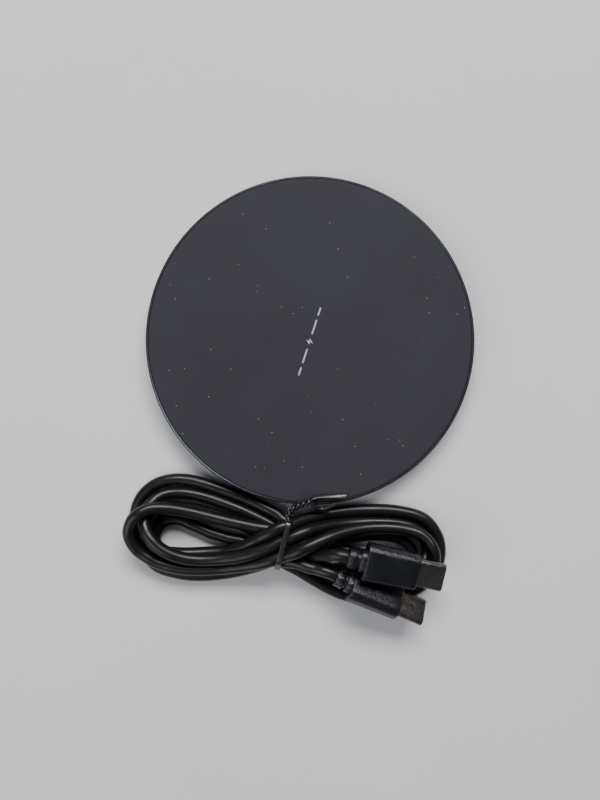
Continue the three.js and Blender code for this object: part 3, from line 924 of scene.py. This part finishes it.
def bezel():
    """The ring round the plate: polished chamfer, rounded edge and side wall. The rounded edge and
    the wall carry the near-black wall paint, which also serves as painted shade for the shadow line
    at the pad's edge.
    """
    band_outer = LIP_INNER + BAND_WIDTH
    top = BEZEL_TOP - BAND_DROP
    side = PAD_RADIUS - BEZEL_FOOT_ROUND
    profile = [(WALL_INNER, BEZEL_BOTTOM), (side, BEZEL_BOTTOM)]
    for a in angles(30, 60, 90):
        profile.append((
            side + BEZEL_FOOT_ROUND * math.sin(a),
            BEZEL_BOTTOM + BEZEL_FOOT_ROUND * (1 - math.cos(a)),
        ))
    drop = 2 * BAND_ROUND
    for a in angles(0, 22.5, 45, 67.5, 90):
        profile.append((
            band_outer + BAND_ROUND * math.cos(a),
            top - drop + drop * math.sin(a),
        ))
    profile += [(LIP_INNER + 0.06, BEZEL_TOP), (LIP_INNER, BEZEL_TOP - 0.06)]
    profile += [(LIP_INNER, SHELF_TOP), (SHELF_INNER, SHELF_TOP), (SHELF_INNER, SHELF_BOTTOM)]
    profile += [(WALL_INNER, SHELF_BOTTOM)]
    obj = piece("bezel", *lathe(profile), "bezel", "pad", ["bezel_ring"])
    carve(obj, [
        port_cutter(PORT_CLEARANCE, CUT_START, PAD_RADIUS - 0.45),
        port_cutter(PORT_CLEARANCE, PAD_RADIUS - 0.46, PAD_RADIUS + 0.4, 0.9),
        lens_cutter(0.12),
    ])
    # Only the flat band gets the polished paint. The rounded edge outside it keeps the near-black
    # wall paint as a painted shadow line.
    obj.data.materials.append(BAND)
    for face in obj.data.polygons:
        radius = math.hypot(face.center.x, face.center.y) / MM
        if face.center.z > (top - 0.02) * MM and LIP_INNER < radius < band_outer:
            face.material_index = 1


def base():
    profile = [
        (0.0, BASE_BOTTOM), (12.0, BASE_BOTTOM), (24.0, BASE_BOTTOM), (34.0, BASE_BOTTOM),
        (FOOT_INNER - 0.45, BASE_BOTTOM), (FOOT_INNER - 0.25, BASE_BOTTOM + 0.15),
        (FOOT_INNER - 0.2, FOOT_HEIGHT), (FOOT_OUTER + 0.2, FOOT_HEIGHT),
        (FOOT_OUTER + 0.25, BASE_BOTTOM + 0.15), (FOOT_OUTER + 0.45, BASE_BOTTOM),
        (46.4, BASE_BOTTOM), (47.0, BASE_BOTTOM + 0.1), (BASE_OUTER - 0.3, BASE_RIM - 0.3),
        (BASE_OUTER, BASE_RIM - 0.12), (BASE_OUTER, BASE_RIM),
        (BASE_WALL_OUTER, BASE_RIM), (BASE_WALL_OUTER, BASE_WALL_TOP),
        (BASE_WALL_INNER, BASE_WALL_TOP), (BASE_WALL_INNER, BASE_FLOOR), (0.0, BASE_FLOOR),
    ]
    obj = piece("base", *lathe(profile, 192), "base", "pad", ["base_cover"])
    carve(obj, [
        port_cutter(0.4, CUT_START, PAD_RADIUS + 0.4),
        lens_cutter(0.2),
    ])


def foot():
    """Silicone ring with three fine grip grooves in its face."""
    profile = [(FOOT_INNER, FOOT_HEIGHT)]
    profile += [(FOOT_INNER + inset, z) for inset, z in ((0.0, 0.3), (0.1, 0.1), (0.3, 0.0))]
    for middle in (39.8, 41.0, 42.2):
        groove = ((-0.22, 0.0), (-0.1, 0.16), (0.1, 0.16), (0.22, 0.0))
        profile += [(middle + off, z) for off, z in groove]
    profile += [(FOOT_OUTER - inset, z) for inset, z in ((0.3, 0.0), (0.1, 0.1), (0.0, 0.3))]
    profile += [(FOOT_OUTER, FOOT_HEIGHT)]
    piece("foot", *lathe(profile, 192), "silicone", "pad", ["foot_ring"])


def port():
    """The port's shell, open at the front with a rolled lip, and the tongue with its contacts."""
    back = PORT_FRONT - PORT_LENGTH
    wall = 2 * PORT_WALL
    rows = [
        (back, PORT_WIDTH - 0.5, PORT_THICKNESS - 0.5, 1.2),
        (back + 0.25, PORT_WIDTH, PORT_THICKNESS, 1.5),
        (PORT_FRONT - 0.12, PORT_WIDTH, PORT_THICKNESS, 1.5),
        (PORT_FRONT, PORT_WIDTH - 0.14, PORT_THICKNESS - 0.14, 1.45),
        (PORT_FRONT, PORT_WIDTH - wall + 0.12, PORT_THICKNESS - wall + 0.12, 1.25),
        (PORT_FRONT - 0.12, PORT_WIDTH - wall, PORT_THICKNESS - wall, 1.2),
        (back + PORT_WALL, PORT_WIDTH - wall, PORT_THICKNESS - wall, 1.2),
    ]
    turn = Matrix.Rotation(math.radians(PORT_ANGLE), 4, "Z")
    turn = turn @ Matrix.Translation((0, 0, PORT_HEIGHT))
    shell = loft(stations(rows, 10))
    piece("port_shell", *shell, "steel", "pad", ["usb_c_receptacle"], placed=turn)
    inside = back + PORT_WALL + 0.1
    tip = PORT_FRONT - 0.8
    rows = [
        (inside, PORT_WIDTH - 1, PORT_THICKNESS - 1, 1.0),
        (inside + 1.5, PORT_WIDTH - 1, PORT_THICKNESS - 1, 1.0),
        (inside + 1.6, 6.9, 1.0, 0.3),
        (inside + 2.0, 6.7, 0.7, 0.2),
        (tip - 0.25, 6.7, 0.7, 0.2),
        (tip, 6.3, 0.4, 0.15),
    ]
    tongue = loft(stations(rows, 4))
    piece("port_tongue", *tongue, "chip", "pad", ["receptacle_tongue"], placed=turn)
    points, faces = loft(stations([(x, 0.28, 0.06, 0.02) for x in (inside + 2.2, tip - 0.6)], 1))
    pads = []
    for side in (-1, 1):
        for y in CONTACT_PLACES:
            pads.append(([(px, py + y, pz + side * 0.365) for px, py, pz in points], faces))
    piece("port_contacts", *joined(*pads), "copper", "pad", placed=turn)


def lens():
    """A frosted pipe with a flange and a domed end."""
    flange, flange_end, dome_start, dome_height = 1.3, 0.6, 4.05, 0.22
    profile = [(0.0, 0.0), (flange, 0.0), (flange, flange_end)]
    profile += [(LENS_RADIUS, flange_end), (LENS_RADIUS, dome_start)]
    for a in angles(20, 40, 60, 80, 90):
        profile.append((LENS_RADIUS * math.cos(a), dome_start + dome_height * math.sin(a)))
    profile[-1] = (0.0, profile[-1][1])
    points, faces = lathe(profile, 40)
    turn = Matrix.Rotation(math.radians(PORT_ANGLE + LENS_ANGLE), 4, "Z")
    turn = turn @ Matrix.Translation((45.6, 0, LENS_HEIGHT)) @ Matrix.Rotation(math.pi / 2, 4, "Y")
    piece("status_lens", points, faces, "lens", "pad", ["indicator_lens"], placed=turn)


MARK_CENTRE = (-0.15, -0.4)
MARK_ANGLE = 72.0
MARK_HEIGHT = 2.3
MARK_BAR_WIDTH = 0.5
MARK_BARS = [(4.6, 4.6), (9.5, 2.6)]  # distance from the middle, and length


def ink(outline):
    bottom, top = PAD_TOP + 0.002, PAD_TOP + 0.02
    return loft([[(x, y, z) for x, y in outline] for z in (bottom, top)])


def mark():
    """The printed mark: a small bolt between two pairs of plain bars, along one line."""
    half = MARK_HEIGHT / 2
    bolt = [(0.25, half), (-0.95, -0.15), (-0.1, -0.15), (-0.25, -half), (0.95, 0.2), (0.1, 0.2)]
    parts = [ink(bolt)]
    for side in (-1, 1):
        for middle, length in MARK_BARS:
            bar = rounded(length, MARK_BAR_WIDTH, MARK_BAR_WIDTH / 2, 6)
            parts.append(ink([(side * middle + x, y) for x, y in bar]))
    turn = Matrix.Translation((*MARK_CENTRE, 0))
    turn = turn @ Matrix.Rotation(math.radians(MARK_ANGLE), 4, "Z")
    piece("charging_mark", *joined(*parts), "mark_ink", "pad", placed=turn)


plate()
bezel()
base()
foot()
port()
lens()
mark()


# ---- Plugs ----


def plug_matrix(letter):
    place, matrix = plug_frame(letter)
    return Matrix.Translation(place) @ Matrix(matrix.tolist()).to_4x4()


BODY_CORNER = 2.4  # radius of the body's long edges
BACK_ROUND, FRONT_ROUND = 0.65, 0.55  # radius of the edges of its two ends


def plug_body_rings():
    """The moulded body and its notched strain relief, as rings along +X."""
    back = -PLUG_LENGTH / 2
    front = PLUG_LENGTH / 2
    width, height = PLUG_WIDTH, PLUG_THICKNESS
    rows = [
        (back - RELIEF_LENGTH + 0.05, 4.0, 4.0, 2.0),
        (back - RELIEF_LENGTH, 4.3, 4.3, 2.1),
        (back - RELIEF_LENGTH, 5.5, 4.9, 2.3),
        (back - RELIEF_LENGTH + 0.25, 5.9, 5.2, 2.4),
        (back - 2.55, 6.3, 5.3, 2.4),
        (back - 2.35, 6.0, 5.1, 2.3),
        (back - 2.3, 4.9, 4.6, 2.1),
        (back - 1.5, 4.9, 4.6, 2.1),
        (back - 1.45, 6.3, 5.2, 2.3),
        (back - 1.25, 6.7, 5.4, 2.4),
        (back, 6.9, 5.5, 2.4),
        (back + 0.02, width - 1.3, height - 1.0, 1.9),
    ]
    for a in angles(22.5, 45, 67.5, 90):
        out = BACK_ROUND * (1 - math.sin(a))
        x = back + BACK_ROUND * (1 - math.cos(a))
        rows.append((x, width - 2 * out, height - 1.5 * out, BODY_CORNER - out))
    rows += [(x, width, height, BODY_CORNER) for x in (-5.0, 0.0, 5.0)]
    for a in angles(0, 22.5, 45, 67.5, 90):
        out = FRONT_ROUND * (1 - math.cos(a))
        x = front - FRONT_ROUND * (1 - math.sin(a))
        rows.append((x, width - 2 * out, height - 2 * out, BODY_CORNER - out))
    seat_w, seat_h = SHELL_WIDTH + 0.12, SHELL_THICKNESS + 0.12
    rows += [
        (front, seat_w + 0.2, seat_h + 0.2, 1.35),
        (front - 0.1, seat_w, seat_h, 1.25),
        (front - 1.7, seat_w, seat_h, 1.25),
    ]
    flared = []
    for x, w, h, r in rows:
        scale = 1 + PLUG_FLARE * (front - x) / PLUG_LENGTH if x > back + 0.01 else 1.0
        flared.append((x, w * scale, h * scale, r * scale))
    return stations(flared, 10)


def plug_shell_rings():
    """The metal shell, with a rolled lip round its mouth."""
    back = PLUG_LENGTH / 2 - 1.65
    front = PLUG_LENGTH / 2 + SHELL_LENGTH
    wall = 2 * SHELL_WALL
    width, height = SHELL_WIDTH, SHELL_THICKNESS
    return stations([
        (back, width, height, 1.2),
        (front - 0.45, width, height, 1.2),
        (front - 0.2, width - 0.08, height - 0.08, 1.17),
        (front - 0.05, width - 0.24, height - 0.24, 1.12),
        (front, width - 0.36, height - 0.36, 1.05),
        (front - 0.05, width - wall + 0.04, height - wall + 0.04, 0.95),
        (front - 0.2, width - wall, height - wall, 0.9),
        (back + SHELL_WALL, width - wall, height - wall, 0.9),
    ], 10)


def plug_insert_parts():
    """The insert's frame with its slot, and the spring contacts in it."""
    back = PLUG_LENGTH / 2 - 1.2
    front = PLUG_LENGTH / 2 + SHELL_LENGTH - 0.45
    width, height = SHELL_WIDTH - 0.75, SHELL_THICKNESS - 0.75
    frame_rings = stations([
        (back, width, height, 0.85),
        (front, width, height, 0.85),
        (front, 6.95, 0.95, 0.25),
        (front - 5.2, 6.95, 0.95, 0.25),
    ], 6)
    contacts = []
    spring = ((5.0, 0.42), (1.6, 0.36), (0.9, 0.3), (0.4, 0.43))  # from the front, off the middle
    for side in (-1, 1):
        for y in CONTACT_PLACES:
            contacts.append(loft([
                [(front - x, py + y, pz + side * lift) for py, pz in rounded(0.26, 0.05, 0.02, 1)]
                for x, lift in spring
            ]))
    return loft(frame_rings), joined(*contacts)


def plug(letter):
    turn = plug_matrix(letter)
    body = piece(
        f"plug_{letter}_overmold", *loft(plug_body_rings()), "overmold", "cable",
        [f"plug_{letter}_body"], 40.0, turn,
    )
    shell = piece(
        f"plug_{letter}_metal", *loft(plug_shell_rings()), "gunmetal", "cable",
        [f"plug_{letter}_shell"], 40.0, turn,
    )
    insert, springs = plug_insert_parts()
    frame_piece = piece(
        f"plug_{letter}_insert", *insert, "chip", "cable", [f"plug_{letter}_contacts"], 32.0, turn
    )
    contacts = piece(f"plug_{letter}_springs", *springs, "copper", "cable", placed=turn)
    return [body, shell, frame_piece, contacts]


PLUG_PIECES = plug("a") + plug("b")


# ---- Twist tie ----


def sweep(path, section, turns=None, closed=False, width=None):
    """A closed section swept along a path. turns is the section's twist at each point, in radians
    from lying flat; without it the section isn't twisted. width stretches it at each point."""
    path = np.asarray(path, float)
    if closed:
        tangents = np.roll(path, -1, axis=0) - np.roll(path, 1, axis=0)
    else:
        tangents = np.gradient(path, axis=0)
    tangents /= np.linalg.norm(tangents, axis=1, keepdims=True)
    normal = np.cross(tangents[0], [0.0, 0.0, 1.0])
    if np.linalg.norm(normal) < 0.1:
        normal = np.array([1.0, 0.0, 0.0])
    rings = []
    for i, (place, tangent) in enumerate(zip(path, tangents)):
        if turns is None:
            normal = normal - tangent * (normal @ tangent)
        else:
            normal = np.cross(tangent, [0.0, 0.0, 1.0])
        normal /= np.linalg.norm(normal)
        other = np.cross(tangent, normal)
        twist = 0.0 if turns is None else turns[i]
        c, s = math.cos(twist), math.sin(twist)
        wide = 1.0 if width is None else width[i]
        rings.append([
            tuple(place + normal * (a * wide * c - b * s) + other * (a * wide * s + b * c))
            for a, b in section
        ])
    return loft(rings, closed)


CIRCLE_STEPS = 40
LOOP_POINTS = 120
LOOP_EASING = 6


def tie_loop_path():
    """A line round the cable's strands where they pass through the tie, like a tight band."""
    offset = (LINE[:, :2] - TIE_CENTRE) @ ALONG
    inside = np.hypot(*(LINE[:, :2] - TIE_CENTRE).T) < TIE_HALF_WIDTH + 1
    reach = CABLE / 2 + TIE_WIRE * 0.35
    circles = []
    for i in np.nonzero((offset[:-1] * offset[1:] <= 0) & inside[:-1])[0]:
        across = float((LINE[i, :2] - TIE_CENTRE) @ ACROSS)
        for k in range(CIRCLE_STEPS):
            a = 2 * math.pi * k / CIRCLE_STEPS
            circles.append((across + reach * math.cos(a), float(LINE[i, 2]) + reach * math.sin(a)))
    circles = sorted(set(circles))

    def half(points):
        chain = []
        for p in points:
            while len(chain) > 1:
                (ax, ay), (bx, by) = chain[-2:]
                if (bx - ax) * (p[1] - ay) - (by - ay) * (p[0] - ax) > 0:
                    break
                chain.pop()
            chain.append(p)
        return chain[:-1]

    hull = np.array(half(circles) + half(circles[::-1]))
    closed = np.vstack([hull, hull[:1]])
    lengths = distances(closed)
    wanted = np.linspace(0, lengths[-1], LOOP_POINTS, endpoint=False)
    ring = np.stack([np.interp(wanted, lengths, closed[:, k]) for k in range(2)], axis=1)
    for _ in range(LOOP_EASING):
        ring = (np.roll(ring, 1, axis=0) + ring * 2 + np.roll(ring, -1, axis=0)) / 4
    ring[:, 1] = np.maximum(ring[:, 1], TIE_WIRE * 0.35)
    return np.array([at_tie(v, z) for v, z in ring])


RIBBON = rounded(1.7, 0.7, 0.32, 4)  # the loop's section
WIRE = rounded(1.3, 0.85, 0.4, 4)  # the section of each end
TWIST_PITCH = 3.4
TWIST_RADIUS = 0.58
TAIL_TILT = 0.28  # radians that the flat tails lean towards +Y
FLAT_TAIL = [(0.6, -47.9, 9.0), (2.2, -47.35, 8.65), (6.0, -47.2, 8.5), (10.9, -47.2, 8.55)]
SHORT_TAIL = [(1.1, -50.1, 8.9), (3.4, -51.0, 7.4), (5.6, -50.3, 8.0), (7.6, -49.4, 8.3)]
TAILS = [(0.0, FLAT_TAIL, 1.7), (math.pi, SHORT_TAIL, 1.1)]  # phase in the twist, path, widening


def tie():
    """The loop, the two ends twisted together, and the two tails, one of them flat."""
    loop_path = tie_loop_path()
    # The ends leave the loop at its top, on the pad's side.
    knot = loop_path[np.argmax(loop_path @ np.array([*ACROSS, 0.8]))]
    start = knot + np.array([0.0, -0.2, 0.2])
    core = evenly(spline(np.array([
        start, (-6.0, -51.3, start[2] + 0.1), (-3.1, -49.4, 10.3), (-0.5, -48.7, 9.4),
    ]), 16), 0.15)
    tangents = np.gradient(core, axis=0)
    tangents /= np.linalg.norm(tangents, axis=1, keepdims=True)
    side = np.cross(tangents, [0.0, 0.0, 1.0])
    side /= np.linalg.norm(side, axis=1, keepdims=True)
    up = np.cross(side, tangents)
    run = distances(core)
    parts = [sweep(loop_path, RIBBON, closed=True)]
    for phase, tail, wide in TAILS:
        angle = 2 * math.pi * run / TWIST_PITCH + phase
        across = side * np.cos(angle)[:, None] + up * np.sin(angle)[:, None]
        line = core + TWIST_RADIUS * across
        tail_line = evenly(spline(np.array([line[-6], line[-1], *tail]), 10), 0.3)[3:]
        flat_angle = round(angle[-1] / math.pi) * math.pi - TAIL_TILT
        twist = np.concatenate([angle, np.linspace(angle[-1], flat_angle, len(tail_line))])
        widening = np.linspace(1.0, wide, len(tail_line)) ** 0.5
        width = np.concatenate([np.ones(len(line)), widening])
        parts.append(sweep(np.vstack([line, tail_line]), WIRE, twist, width=width))
    return piece("wire_tie", *joined(*parts), "tie", "cable", ["twist_tie"], 40.0)


TIE = tie()


# ---- CAD nodes that stay ----

for row in frame["record"]["subparts"]:
    node = frame["nodes"].get(row["node"])
    if node and row["material_slot"] in PAINTS:
        node.data.materials.clear()
        node.data.materials.append(PAINTS[row["material_slot"]])


# ---- Floor and light ----


FLOOR_HALF = 3.0  # metres
FLOOR_GAP = 0.0001  # below the foot


def floor():
    mesh = bpy.data.meshes.new("floor")
    corners = [(x * FLOOR_HALF, y * FLOOR_HALF, 0) for x, y in ((-1, -1), (1, -1), (1, 1), (-1, 1))]
    mesh.from_pydata(corners, [], [(0, 1, 2, 3)])
    obj = bpy.data.objects.new("floor", mesh)
    obj.location.z = -FLOOR_GAP
    SCENE.collection.objects.link(obj)
    paint = mottled("pale_floor", (0.66, 0.66, 0.67), 0.75, 8.0, 0.02, 0.04)
    mesh.materials.append(paint.material)


def area_light(name, place, size, size_y, power, target=(0.0, -0.02, 0.0)):
    data = bpy.data.lights.new(name, "AREA")
    data.shape = "RECTANGLE"
    data.size = size
    data.size_y = size_y
    data.energy = power
    light = bpy.data.objects.new(name, data)
    light.location = place
    direction = Vector(target) - Vector(place)
    light.rotation_euler = direction.to_track_quat("-Z", "Y").to_euler()
    SCENE.collection.objects.link(light)


def studio():
    world = bpy.data.worlds.new("studio")
    world.use_nodes = True
    background = world.node_tree.nodes["Background"]
    background.inputs["Color"].default_value = (0.8, 0.85, 0.95, 1.0)
    background.inputs["Strength"].default_value = 0.2
    SCENE.world = world
    area_light("key", (0.12, 0.75, 0.85), 0.9, 0.36, 19.0)
    area_light("fill", (-0.7, -0.5, 0.8), 0.9, 0.9, 7.0)


floor()
studio()
